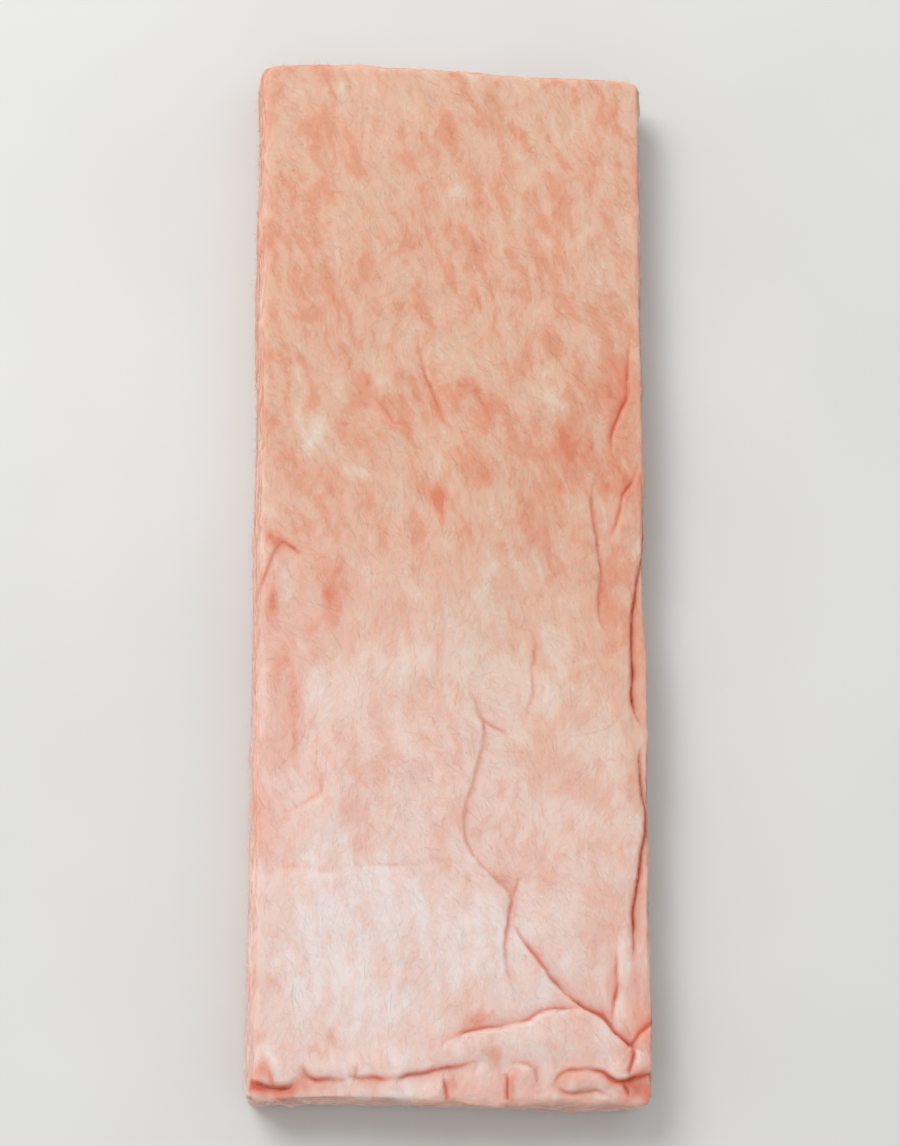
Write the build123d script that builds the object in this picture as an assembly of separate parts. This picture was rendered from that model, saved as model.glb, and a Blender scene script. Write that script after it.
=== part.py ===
"""One unfaced glass wool wall batt, lying on its back face with its room face up.

The batt is a single soft slab: a slit and chopped length of glass wool with square-cut sides, rolled shoulders, a
gently waved room face, and the folds that a tight stud bay pressed into that face. At each fold a lobe of wool stands
proud on one side, and the wool on the other side dives under it.
Millimetres. X runs across the batt, Y along it towards its head end, and Z up from the back face.
"""

import os
from dataclasses import dataclass
from math import ceil, cos, exp, pi, sin

from build123d import *

# Stock size: for studs at 450 mm centres in a frame 90 mm deep
LENGTH = 1160.0
WIDTH = 430.0
THICKNESS = 90.0

# Soft outline
CORNER_RADIUS = 14.0
FACE_SHOULDER = 10.0
BACK_SHOULDER = 8.0

# Room face: it stands highest along the middle, and rises and falls a little
CROWN = 5.0
WAVE_HEIGHT = 1.8
WAVE_LENGTH = 390.0
WAVE_WIDTH = 300.0
FACE_POINT_PITCH = 24.0
FACE_MARGIN = 30.0

# Folds: a groove between the proud lobe and the slope that dives under it, which both start a little above the face
LOBE_REACH = 11.0
SLOPE_REACH = 17.0
FOLD_DEPTH = 9.0
LIP_RISE = 1.6
GROOVE_HEADROOM = 16.0
STATION_PITCH = 26.0
FADE_LENGTH = 55.0
FADED_WIDTH = 0.45
FADED_CLEARANCE = 1.5


LEFT = -1
RIGHT = 1


@dataclass
class Fold:
    """A fold in the room face: where its valley runs, which side of it the proud lobe is on as one walks along that
    route, how strong it is, and which of its ends fade out."""

    route: list
    over: int
    strength: float = 1.0
    fades_in: bool = True
    fades_out: bool = True


@dataclass
class Swelling:
    """A soft rise in the room face, or a hollow where its height is negative."""

    place: tuple
    reach_across: float
    reach_along: float
    height: float


def from_middle(across, up):
    """A point on the face, by its distance from the centre line and from the foot end."""
    return (across, up - LENGTH / 2)


def from_right(inset, up):
    """A point on the face, by its distance in from the right side and from the foot end."""
    return (WIDTH / 2 - inset, up - LENGTH / 2)


def from_left(inset, up):
    """A point on the face, by its distance in from the left side and from the foot end."""
    return (inset - WIDTH / 2, up - LENGTH / 2)


# The folds, each listed from its head end down or from left to right
FOLDS = {
    "side_fold_upper": Fold(
        [
            from_right(8, 655),
            from_right(9, 610),
            from_right(12, 578),
            from_right(15, 550),
            from_right(19, 520),
            from_right(20, 470),
            from_right(20, 438),
            from_right(14, 408),
        ],
        RIGHT,
        strength=1.1,
    ),
    "side_fold_lower": Fold(
        [
            from_right(10, 392),
            from_right(14, 365),
            from_right(11, 333),
            from_right(10, 300),
            from_right(12, 271),
            from_right(16, 242),
            from_right(21, 208),
            from_right(22, 150),
        ],
        RIGHT,
        strength=1.0,
    ),
    "long_fold": Fold(
        [
            from_middle(16, 470),
            from_middle(19, 440),
            from_middle(32, 400),
            from_middle(26, 362),
            from_middle(14, 318),
            from_middle(15, 275),
            from_middle(36, 246),
            from_middle(59, 222),
            from_middle(59, 200),
            from_middle(54, 164),
            from_middle(59, 136),
            from_middle(63, 115),
        ],
        RIGHT,
        strength=0.65,
    ),
    "diagonal_fold": Fold(
        [
            from_middle(58, 198),
            from_middle(86, 155),
            from_right(104, 125),
            from_right(74, 101),
            from_right(46, 80),
            from_right(25, 61),
        ],
        RIGHT,
        strength=0.9,
        fades_out=False,
    ),
    "end_fold": Fold(
        [
            from_middle(-15, 62),
            from_middle(18, 76),
            from_middle(53, 82),
            from_middle(79, 88),
            from_middle(97, 98),
            from_right(87, 101),
            from_right(72, 100),
        ],
        RIGHT,
        strength=0.75,
        fades_out=False,
    ),
    "corner_fold": Fold(
        [
            from_right(12, 88),
            from_right(20, 70),
            from_right(24, 50),
            from_right(27, 28),
        ],
        LEFT,
        strength=0.75,
        fades_out=False,
    ),
    "foot_tuck_left": Fold(
        [
            from_left(-12, 18),
            from_left(12, 19),
            from_left(39, 18),
            from_left(66, 23),
            from_left(93, 23),
            from_left(115, 24),
            from_left(140, 27),
        ],
        LEFT,
        strength=0.85,
        fades_in=False,
    ),
    "foot_tuck_middle": Fold(
        [
            from_middle(-92, 21),
            from_middle(-44, 29),
            from_middle(0, 39),
            from_middle(45, 46),
        ],
        LEFT,
        strength=0.6,
    ),
    "foot_tuck_right": Fold(
        [
            from_right(110, 28),
            from_right(95, 36),
            from_right(79, 38),
            from_right(64, 36),
            from_right(42, 29),
            from_right(28, 27),
            from_right(16, 29),
            from_right(-12, 34),
        ],
        LEFT,
        strength=0.85,
        fades_out=False,
    ),
    "head_fold": Fold(
        [
            from_middle(-42, 850),
            from_middle(-33, 800),
            from_middle(-27, 780),
            from_middle(-19, 760),
            from_middle(0, 725),
        ],
        LEFT,
        strength=0.6,
    ),
    "head_side_fold": Fold(
        [
            from_right(18, 850),
            from_right(19, 800),
            from_right(22, 778),
            from_right(30, 758),
            from_right(36, 741),
            from_right(39, 719),
            from_right(40, 698),
        ],
        LEFT,
        strength=0.75,
    ),
    "slant_fold": Fold(
        [
            from_right(12, 700),
            from_right(18, 680),
            from_right(28, 658),
            from_right(35, 633),
            from_right(42, 610),
        ],
        LEFT,
        strength=0.6,
    ),
    "inner_side_fold": Fold(
        [
            from_right(55, 692),
            from_right(62, 668),
            from_right(61, 643),
            from_right(56, 614),
            from_right(53, 589),
            from_right(53, 555),
            from_right(52, 522),
            from_right(41, 500),
        ],
        RIGHT,
        strength=0.6,
    ),
    "thin_fold": Fold(
        [
            from_middle(82, 520),
            from_middle(89, 495),
            from_middle(86, 450),
            from_middle(79, 418),
            from_middle(77, 395),
        ],
        RIGHT,
        strength=0.45,
    ),
    "short_side_fold": Fold(
        [
            from_right(40, 174),
            from_right(38, 145),
            from_right(38, 120),
            from_right(43, 84),
        ],
        LEFT,
        strength=0.6,
        fades_out=False,
    ),
    "hook_fold": Fold(
        [
            from_left(6, 545),
            from_left(11, 568),
            from_left(17, 588),
            from_left(26, 602),
        ],
        LEFT,
        strength=0.5,
    ),
}

# Where the wool bulges between the folds
SWELLINGS = {
    "bottom_roll": Swelling(from_right(112, 66), 75.0, 32.0, 4.5),
    "hollow_behind_roll": Swelling(from_right(66, 125), 42.0, 34.0, -3.5),
    "lobe_at_left_corner": Swelling(from_left(32, 46), 36.0, 30.0, 3.0),
    "lobe_at_middle": Swelling(from_middle(-60, 48), 42.0, 30.0, 3.0),
    "left_of_long_fold": Swelling(from_middle(-15, 320), 34.0, 80.0, 2.0),
    "right_side_roll": Swelling(from_right(34, 400), 30.0, 150.0, 2.0),
    "head_side_panel": Swelling(from_right(34, 570), 30.0, 50.0, -2.5),
}


def face_height(x, y):
    """How high the room face stands at a point, before the folds."""
    across = 2 * x / WIDTH
    along = 2 * y / LENGTH
    crown = CROWN * (across**2 + along**4)
    wave = sin(2 * pi * (y / WAVE_LENGTH + x / WAVE_WIDTH)) + cos(2 * pi * (x / WAVE_WIDTH - 0.6 * y / WAVE_LENGTH))
    height = THICKNESS - crown + WAVE_HEIGHT * wave
    for swelling in SWELLINGS.values():
        across_it = (x - swelling.place[0]) / swelling.reach_across
        along_it = (y - swelling.place[1]) / swelling.reach_along
        height += swelling.height * exp(-(across_it**2) - along_it**2)
    return height


def stops(span):
    """Evenly spaced places across a span and the margin beyond each of its ends."""
    reach = span / 2 + FACE_MARGIN
    steps = ceil(2 * reach / FACE_POINT_PITCH)
    return [reach * (2 * i / steps - 1) for i in range(steps + 1)]


def slab():
    """The batt before it was folded: square-cut sides, rolled shoulders and a waved face."""
    rough = Box(WIDTH, LENGTH, 2 * THICKNESS, align=(Align.CENTER, Align.CENTER, Align.MIN))
    rough = fillet(rough.edges().filter_by(Axis.Z), CORNER_RADIUS)
    points = [[Vector(x, y, face_height(x, y)) for x in stops(WIDTH)] for y in stops(LENGTH)]
    face = Face.make_surface_from_array_of_points(points)
    above = extrude(face, amount=2 * THICKNESS, dir=(0, 0, 1))
    body = rough - above
    upper = body.edges().filter_by(lambda e: e.center().Z > THICKNESS / 2).filter_by(Axis.Z, reverse=True)
    body = fillet(upper, FACE_SHOULDER)
    return fillet(body.faces().sort_by(Axis.Z)[0].edges(), BACK_SHOULDER)


def fade_at(fold, along, length):
    """How much of its full strength a fold has at a distance along it, from 0 to 1."""
    ramp = min(FADE_LENGTH, length / 2)
    fade = 1.0
    if fold.fades_in:
        fade = min(fade, along / ramp)
    if fold.fades_out:
        fade = min(fade, (length - along) / ramp)
    return sin(pi / 2 * fade)


def groove_section(spot, heading, fold, fade):
    """The space between a fold's proud lobe and its slope, upright across its valley. Both round over into the
    crease."""
    width = fold.strength * (FADED_WIDTH + (1 - FADED_WIDTH) * fade)
    lift = (1 - fade) * FADED_CLEARANCE
    rise = LIP_RISE * fold.strength + lift
    lobe = fold.over * LOBE_REACH * width
    slope = -fold.over * SLOPE_REACH * width
    crease = (0, lift - FOLD_DEPTH * fold.strength * fade)
    to_right = Vector(heading.Y, -heading.X, 0).normalized()
    upright = Plane(origin=spot, x_dir=to_right, z_dir=Vector(to_right.Y, -to_right.X, 0))
    outline = Curve() + [
        TangentArc((lobe, rise), crease, tangent=(-fold.over, 0)),
        TangentArc((slope, rise), crease, tangent=(fold.over, 0)),
        Polyline((lobe, rise), (lobe, GROOVE_HEADROOM), (slope, GROOVE_HEADROOM), (slope, rise)),
    ]
    return upright * make_face(outline)


def groove(fold):
    """The whole space between a fold's lips, through sections set along its valley."""
    valley = Spline(*fold.route)
    steps = max(3, ceil(valley.length / STATION_PITCH))
    sections = []
    for i in range(steps + 1):
        along = i / steps
        spot = valley @ along
        spot = Vector(spot.X, spot.Y, face_height(spot.X, spot.Y))
        fade = fade_at(fold, along * valley.length, valley.length)
        sections.append(groove_section(spot, valley % along, fold, fade))
    return loft(sections)


def glass_wool_batt():
    """The slab with each fold pressed into its room face."""
    batt = slab()
    for fold in FOLDS.values():
        batt = batt - groove(fold)
    return batt


os.makedirs("parts", exist_ok=True)
export_step(glass_wool_batt(), "parts/glass_wool_batt.step")
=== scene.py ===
"""The looks of one unfaced glass wool batt, laid flat with its room face up.

The batt is one soft block of felted wool. It is cut from a cube, divided finely where it folds, and then
worked like clay: its shoulders are rolled, its sides are layered, and each fold is pushed into its face.
Loose fibres lie on it. X runs across the batt, Y towards its head end, and Z up from its back, in metres.
"""

from dataclasses import dataclass
from itertools import product
from math import cos, pi, radians, sin, tan

import bmesh
import bpy
import numpy as np
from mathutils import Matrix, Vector
from mathutils.bvhtree import BVHTree


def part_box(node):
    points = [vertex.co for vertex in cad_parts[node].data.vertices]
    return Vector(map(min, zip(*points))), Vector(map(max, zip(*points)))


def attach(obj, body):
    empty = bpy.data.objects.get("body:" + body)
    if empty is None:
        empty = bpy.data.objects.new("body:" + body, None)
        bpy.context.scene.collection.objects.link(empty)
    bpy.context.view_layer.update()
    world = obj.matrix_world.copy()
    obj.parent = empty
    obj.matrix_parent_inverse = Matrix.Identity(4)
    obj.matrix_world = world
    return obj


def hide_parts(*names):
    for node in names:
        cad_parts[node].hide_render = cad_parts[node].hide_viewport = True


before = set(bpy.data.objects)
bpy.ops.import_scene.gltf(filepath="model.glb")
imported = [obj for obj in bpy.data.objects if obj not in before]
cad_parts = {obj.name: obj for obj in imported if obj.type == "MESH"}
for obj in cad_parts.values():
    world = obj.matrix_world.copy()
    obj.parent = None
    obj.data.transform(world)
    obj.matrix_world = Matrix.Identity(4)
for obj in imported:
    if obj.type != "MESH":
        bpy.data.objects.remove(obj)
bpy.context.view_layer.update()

MM = 0.001

# The batt's size and place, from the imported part
LOW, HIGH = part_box("glass_wool_batt")
WIDTH = HIGH.x - LOW.x
LENGTH = HIGH.y - LOW.y
THICKNESS = 90 * MM

# Soft outline
CORNER_RADIUS = 14 * MM
FACE_SHOULDER = 10 * MM
BACK_SHOULDER = 8 * MM

# Room face before its folds
CROWN = 5 * MM
WAVE_HEIGHT = 1.8 * MM
WAVE_LENGTH = 390 * MM
WAVE_WIDTH = 300 * MM

# How finely the block is divided, and how near a fold it is divided once more, if the fold isn't too shallow
BLOCK_CELL = 14.4 * MM
FOLD_REACH = 14 * MM
FINE_FOLD_DEPTH = 2.5

# The share of its listed depth that a fold is pressed to, the depth at which its lobe hangs right over, and
# how far the swelling beside it spreads
PRESSED_SHARE = 0.6
FULL_OVERHANG_DEPTH = 8 * MM
PUFF_SPREAD = 30 * MM

# How far the folds' painted shade reaches from a fold, and the depth that its strength is measured by
PAINTED_SHADE_REACH = 32 * MM
FULL_SHADE_DEPTH = 7.3 * MM

# How far apart a route's points are, and about how many spots are measured against them at once
ROUTE_STEP = 1.5 * MM
SPOTS_AT_ONCE = 4000

# How far up from the foot end the wool is crumpled
CRUMPLED_FOOT = 48 * MM

# The wool changes from its foot end's looks to its head end's along Y plus a share of X, between two places
HEADWARD_SLANT = 0.5
HEADWARD_FROM = -0.4
HEADWARD_TO = 0.18

# How far its streaks lean to the left of straight up the batt, in degrees, at its head end and its foot
HEAD_LEAN = 18
FOOT_LEAN = 6

# A patch's edge: how steep it is, and how far past its half sizes it fades
EDGE_STEEPNESS = 1.2
EDGE_SOFTNESS = 1.4

# Every random choice starts from this seed
SEED = 41

# The size along Z of a cloud that varies only in plan, in millimetres
FLAT = 1000

# The face's smaller rises and dips: height, size across and along, in millimetres, and the cloud's step
DUNES = [(1.8, 85, 110, 5), (1.3, 34, 52, 6), (0.5, 14, 18, 7), (0.25, 8, 9, 19)]
FOOT_DUNES = [(2.2, 17, 15, 25), (1.3, 9, 8, 26)]
STREAK_DUNES = [(0.6, 13, 62, 8), (0.25, 6.5, 26, 9)]

# What draws the redder places out into wisps: axis, pull, size across and along, and the cloud's step
WISP_PULLS = [(0, 9, 26, 40, 10), (0, 4, 9, 16, 11), (1, 20, 20, 60, 12), (1, 6, 7, 24, 13)]

# The wool's screen colours, from reddest to palest: towards its foot end, its head end, and on its sides
PINKER = [(221, 143, 122), (223, 167, 150), (224, 186, 173), (226, 202, 193), (227, 215, 211)]
WARMER = [(213, 137, 108), (215, 160, 134), (217, 180, 157), (219, 197, 179), (223, 211, 198)]
CUT_SIDE = [(214, 150, 131), (225, 180, 163), (233, 208, 198)]
# Painted shade in and beside the folds and in the sides' recesses, and the same at its deepest
FOLD_SHADE = (219, 140, 117)
DEEP_FOLD_SHADE = (204, 102, 78)

# The studio, in metres and watts
FLOOR_GREYS = [(206, 206, 204), (210, 210, 208)]
SKY_STRENGTH = 0.715
SOFTBOX_SIZE = 2.4
SOFTBOX_WATTS = 189
SOFTBOX_PLACE = (-2.4, 2.2, 4.4)

# Loose fibres: the points along each, the number in a piece, and how far the sides' ones stay off the floor
FIBRE_POINTS = 5
FIBRES_A_PIECE = 10800
FLOOR_GAP = 0.3 * MM


@dataclass
class Wisps:
    """A kind of matted fibre, in millimetres: its least and greatest length, its lift off the wool, the log
    of its usual width, its least width, its thickness, its least thickness for its width, its least and
    greatest curl, and the mean and spread of how much paler it is than the wool."""

    length: tuple
    lift: float
    log_width: float
    narrowest: float
    thickness: float
    flattest: float
    curl: tuple
    tone: tuple


FACE_WISPS = Wisps((9, 30), 0.06, -1.35, 0.13, 0.12, 0.12, curl=(0.03, 0.35), tone=(0.05, 0.1))
SIDE_WISPS = Wisps((9, 32), 0.14, -1.15, 0.16, 0.16, 0.15, curl=(0.05, 0.4), tone=(0.02, 0.12))


@dataclass
class Fold:
    """A fold in the room face, in millimetres. The lobe on its over side stands proud with a tight edge, and
    the wool on the other side dives under it. Over is 1 where that lobe is on the left as one walks along the
    route, and else -1. Each stop on the route is how far it is in from the left side and up from the foot
    end. Its tint is how strong its painted shade is, and its tint up how far up the lobe that reaches."""

    route: list
    over: int
    depth: float
    depth_out: float = -1.0
    lip: float = 6.0
    slope: float = 18.0
    puff: float = 2.0
    drop: float = 0.0
    fades_in: float = 55.0
    fades_out: float = 55.0
    shade_tint: float = 1.0
    shade_tint_up: float = 2.4


def from_left(inset, up):
    """A point on the face, by its distance in from the left side and up from the foot end, in millimetres."""
    return (inset * MM - WIDTH / 2, up * MM - LENGTH / 2)


# The folds, each listed from its head end down or from left to right
FOLDS = [
    # The deep tuck along the right side, in two lengths
    Fold([(425, 690), (427, 650), (426, 609), (420, 578), (415, 550), (411, 520), (410, 470), (409, 440),
          (414, 424), (424, 400)],
         over=-1, depth=5, depth_out=11, slope=19, drop=4, shade_tint_up=3.4),
    Fold([(424, 392), (418, 374), (418, 355), (421, 333), (424, 311), (423, 291), (420, 271), (415, 242),
          (410, 208), (408, 150)],
         over=-1, depth=8.5, slope=17, drop=4, shade_tint_up=3.4),
    # The long fold that wanders down the face
    Fold([(231, 470), (234, 440), (247, 400), (241, 362), (229, 318), (229, 275), (251, 246), (275, 222),
          (274, 200), (271, 186), (269, 164), (274, 136), (278, 118)],
         over=-1, depth=2.4, depth_out=4.6, lip=5, slope=22, fades_in=75),
    # The fold that leaves it for the lower right corner
    Fold([(273, 198), (280, 183), (302, 154), (326, 125), (341, 112), (356, 101), (375, 92), (388, 76),
          (405, 61)],
         over=-1, depth=3.5, depth_out=12, lip=5, slope=26, fades_in=40, fades_out=0),
    # The short branch that meets the long fold from above
    Fold([(285, 241), (281, 230), (276, 219)],
         over=1, depth=4, lip=4, slope=9, puff=0.5, fades_in=20, fades_out=0),
    # The fold over the bottom roll
    Fold([(200, 62), (233, 76), (268, 82), (294, 88), (312, 98), (343, 101), (358, 100)],
         over=-1, depth=7, depth_out=4, puff=4, slope=22, fades_out=35),
    # Where the folds meet at the lower right corner
    Fold([(407, 62), (406, 46), (403, 30)],
         over=1, depth=6.5, lip=5, slope=10, puff=2, fades_in=0, fades_out=6),
    Fold([(405, 61), (416, 75), (427, 84), (442, 96)],
         over=-1, depth=6, lip=5, slope=10, fades_in=0, fades_out=8, shade_tint=1.3),
    # The tuck along the foot end, in lobes
    Fold([(-12, 18), (6, 20), (22, 17), (39, 17), (50, 21)],
         over=1, depth=10, depth_out=6, slope=12, puff=3, drop=3, fades_in=0, fades_out=16,
         shade_tint=1.6, shade_tint_up=3.2),
    Fold([(55, 39), (60, 29), (69, 24), (82, 24), (94, 22), (106, 25)],
         over=1, depth=5.5, lip=5, slope=11, fades_in=12, shade_tint=1.3, shade_tint_up=3),
    Fold([(100, 27), (114, 24), (127, 25), (142, 25), (160, 29)],
         over=1, depth=3.5, slope=12, fades_in=14, shade_tint=1.3, shade_tint_up=3),
    Fold([(152, 25), (165, 29), (177, 31), (196, 36), (226, 41), (252, 46)],
         over=1, depth=5.5, depth_out=2.5, lip=7, slope=14, drop=2, fades_in=12, shade_tint=1.1, shade_tint_up=3),
    Fold([(272, 45), (283, 43), (296, 39), (302, 31), (303, 16)],
         over=-1, depth=4.5, slope=12, fades_in=20, fades_out=14),
    Fold([(318, 18), (325, 30), (335, 36), (351, 38), (366, 36), (378, 34), (390, 26)],
         over=1, depth=4, depth_out=9, lip=5, slope=11, fades_in=18, fades_out=10),
    Fold([(322, 18), (334, 11), (350, 12), (370, 12), (388, 6)],
         over=1, depth=5, lip=4, slope=8, fades_in=20),
    Fold([(376, 35), (388, 29), (402, 27), (414, 29), (442, 34)],
         over=1, depth=9, slope=12, fades_in=15, fades_out=0, shade_tint=1.3),
    Fold([(388, 29), (399, 22), (408, 10)],
         over=1, depth=6, lip=4, slope=8, fades_in=8, fades_out=10, shade_tint=1.4),
    Fold([(112, 40), (110, 25)], over=1, depth=4, lip=3, slope=6, puff=1, fades_in=12, fades_out=0),
    Fold([(203, 30), (207, 4)], over=-1, depth=5, lip=4, slope=8, puff=1, fades_in=12, fades_out=4),
    Fold([(272, 32), (271, 3)], over=1, depth=5, lip=4, slope=7, puff=1, fades_in=8, fades_out=4),
    # Folds towards the head end
    Fold([(173, 850), (182, 800), (188, 780), (196, 760), (203, 743), (215, 725)],
         over=1, depth=5, slope=16, puff=1),
    Fold([(412, 850), (411, 800), (408, 778), (400, 758), (394, 741), (391, 719), (390, 698)],
         over=1, depth=9, depth_out=4, lip=4, slope=15, puff=1.5, shade_tint=1.2),
    Fold([(422, 704), (412, 680), (402, 658), (395, 633), (388, 612)],
         over=1, depth=5.5, lip=4, slope=14, fades_in=30, shade_tint=1.2),
    Fold([(375, 692), (368, 668), (369, 643), (374, 614), (377, 589), (378, 570), (375, 545), (377, 522),
          (389, 500)],
         over=-1, depth=3.4, lip=4, slope=16, shade_tint=1.2),
    Fold([(390, 174), (392, 150), (392, 125), (390, 108), (387, 86)],
         over=1, depth=5, depth_out=7, slope=13, fades_out=10),
    Fold([(297, 520), (304, 499), (304, 479), (301, 462), (300, 438), (294, 418), (292, 395)],
         over=-1, depth=3.2, lip=5, slope=10, puff=0.6),
    # The hooked fold at the left side
    Fold([(1, 535), (5, 555), (12, 575), (18, 592), (23, 601), (29, 603), (37, 597), (49, 587)],
         over=1, depth=4.5, lip=7, slope=15, puff=1, fades_in=30, fades_out=22, shade_tint=1.3),
    # The faint step across the face
    Fold([(8, 242), (40, 248), (78, 244), (118, 251), (171, 253), (215, 258)],
         over=-1, depth=1.3, lip=9, slope=10, puff=1, shade_tint=0.5),
    # Soft creases
    Fold([(127, 768), (139, 751), (147, 739), (159, 736)],
         over=-1, depth=3, slope=9, fades_in=25, fades_out=12),
    Fold([(90, 716), (107, 690), (117, 663), (134, 631)],
         over=1, depth=2, lip=9, slope=12, puff=1, shade_tint=0.5),
    Fold([(66, 676), (90, 648), (100, 620)], over=1, depth=1.8, lip=9, slope=12, puff=1, shade_tint=0.5),
    Fold([(240, 690), (252, 640), (262, 590)], over=-1, depth=1.5, lip=10, slope=14, puff=1, shade_tint=0.3),
    Fold([(156, 560), (168, 500), (176, 430)], over=1, depth=1.3, lip=10, slope=14, puff=1, shade_tint=0.2),
    Fold([(236, 426), (243, 412), (257, 403), (276, 393)],
         over=-1, depth=2.6, lip=5, slope=9, puff=0.5, fades_in=12, fades_out=10),
    Fold([(222, 640), (221, 590), (224, 530), (228, 478)],
         over=1, depth=1.4, lip=8, slope=12, puff=0.8, shade_tint=0.4),
    Fold([(141, 530), (140, 480), (143, 430)], over=-1, depth=1.2, lip=8, slope=12, puff=0.8, shade_tint=0.3),
    Fold([(399, 415), (398, 364), (390, 335)], over=1, depth=1.6, lip=8, slope=12, puff=1, shade_tint=0.2),
    Fold([(394, 736), (403, 733), (413, 732)],
         over=1, depth=2.5, lip=4, slope=7, puff=0.5, fades_in=9, fades_out=9),
    Fold([(50, 376), (68, 355), (71, 330), (44, 311), (24, 306)],
         over=1, depth=1.6, lip=7, slope=9, shade_tint=0.9),
    Fold([(12, 136), (22, 124), (32, 106)], over=1, depth=2, lip=6, slope=9, puff=0.8, shade_tint=0.5),
    Fold([(84, 82), (84, 60)], over=1, depth=2, lip=5, slope=7, puff=0.5, fades_in=11, fades_out=11),
    Fold([(256, 58), (255, 44)], over=1, depth=3, lip=4, slope=6, puff=0.5, fades_in=7, fades_out=7),
]


@dataclass
class Patch:
    """A soft-edged place on the room face, in millimetres. Lean turns it clockwise from upright, in degrees.
    Amount is how far the wool rises there or how much redder it is, and where it is negative, the wool dips
    or is paler."""

    inset: float
    up: float
    half_width: float
    half_height: float
    amount: float
    lean: float = 0.0


def patches(*rows):
    """Patches, each from a row of its values."""
    return [Patch(*row) for row in rows]


SWELLINGS = patches(
    # The roll above the foot end and the wool that slopes down behind it
    (315, 66, 78, 17, 5, -4), (300, 118, 60, 22, -3, 40), (372, 118, 34, 30, -4, 45),
    (398, 118, 9, 44, 2.5), (424, 58, 16, 22, 3.5),
    # The lobes along the foot end
    (28, 40, 26, 15, 4), (92, 37, 20, 11, 3.5), (150, 42, 26, 14, 4.5), (228, 56, 22, 9, 3),
    (238, 22, 22, 15, 3), (288, 22, 13, 17, 4), (355, 25, 32, 8, 5), (170, 12, 28, 9, 2),
    (90, 10, 40, 7, -1.5), (416, 13, 14, 12, -9),
    # Either side of the long fold and its stem
    (205, 330, 22, 70, 2), (258, 320, 20, 60, -1.5), (252, 175, 16, 45, 2.5), (290, 215, 16, 26, -2),
    (300, 128, 16, 20, 2),
    # The right side's roll and the panel behind the inner fold
    (394, 470, 13, 90, 2.5), (402, 300, 12, 80, 2.5), (392, 560, 12, 45, -2.5), (356, 600, 14, 60, 2),
    (405, 640, 10, 34, 2.5),
    # The upper left
    (62, 727, 14, 26, 2.5), (105, 690, 8, 36, 1.5, -30), (20, 560, 14, 30, 2.5), (78, 300, 28, 22, 2.5),
    (330, 772, 28, 18, 1.5), (175, 470, 34, 20, 1.5), (120, 170, 90, 60, 2.5),
)

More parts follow.
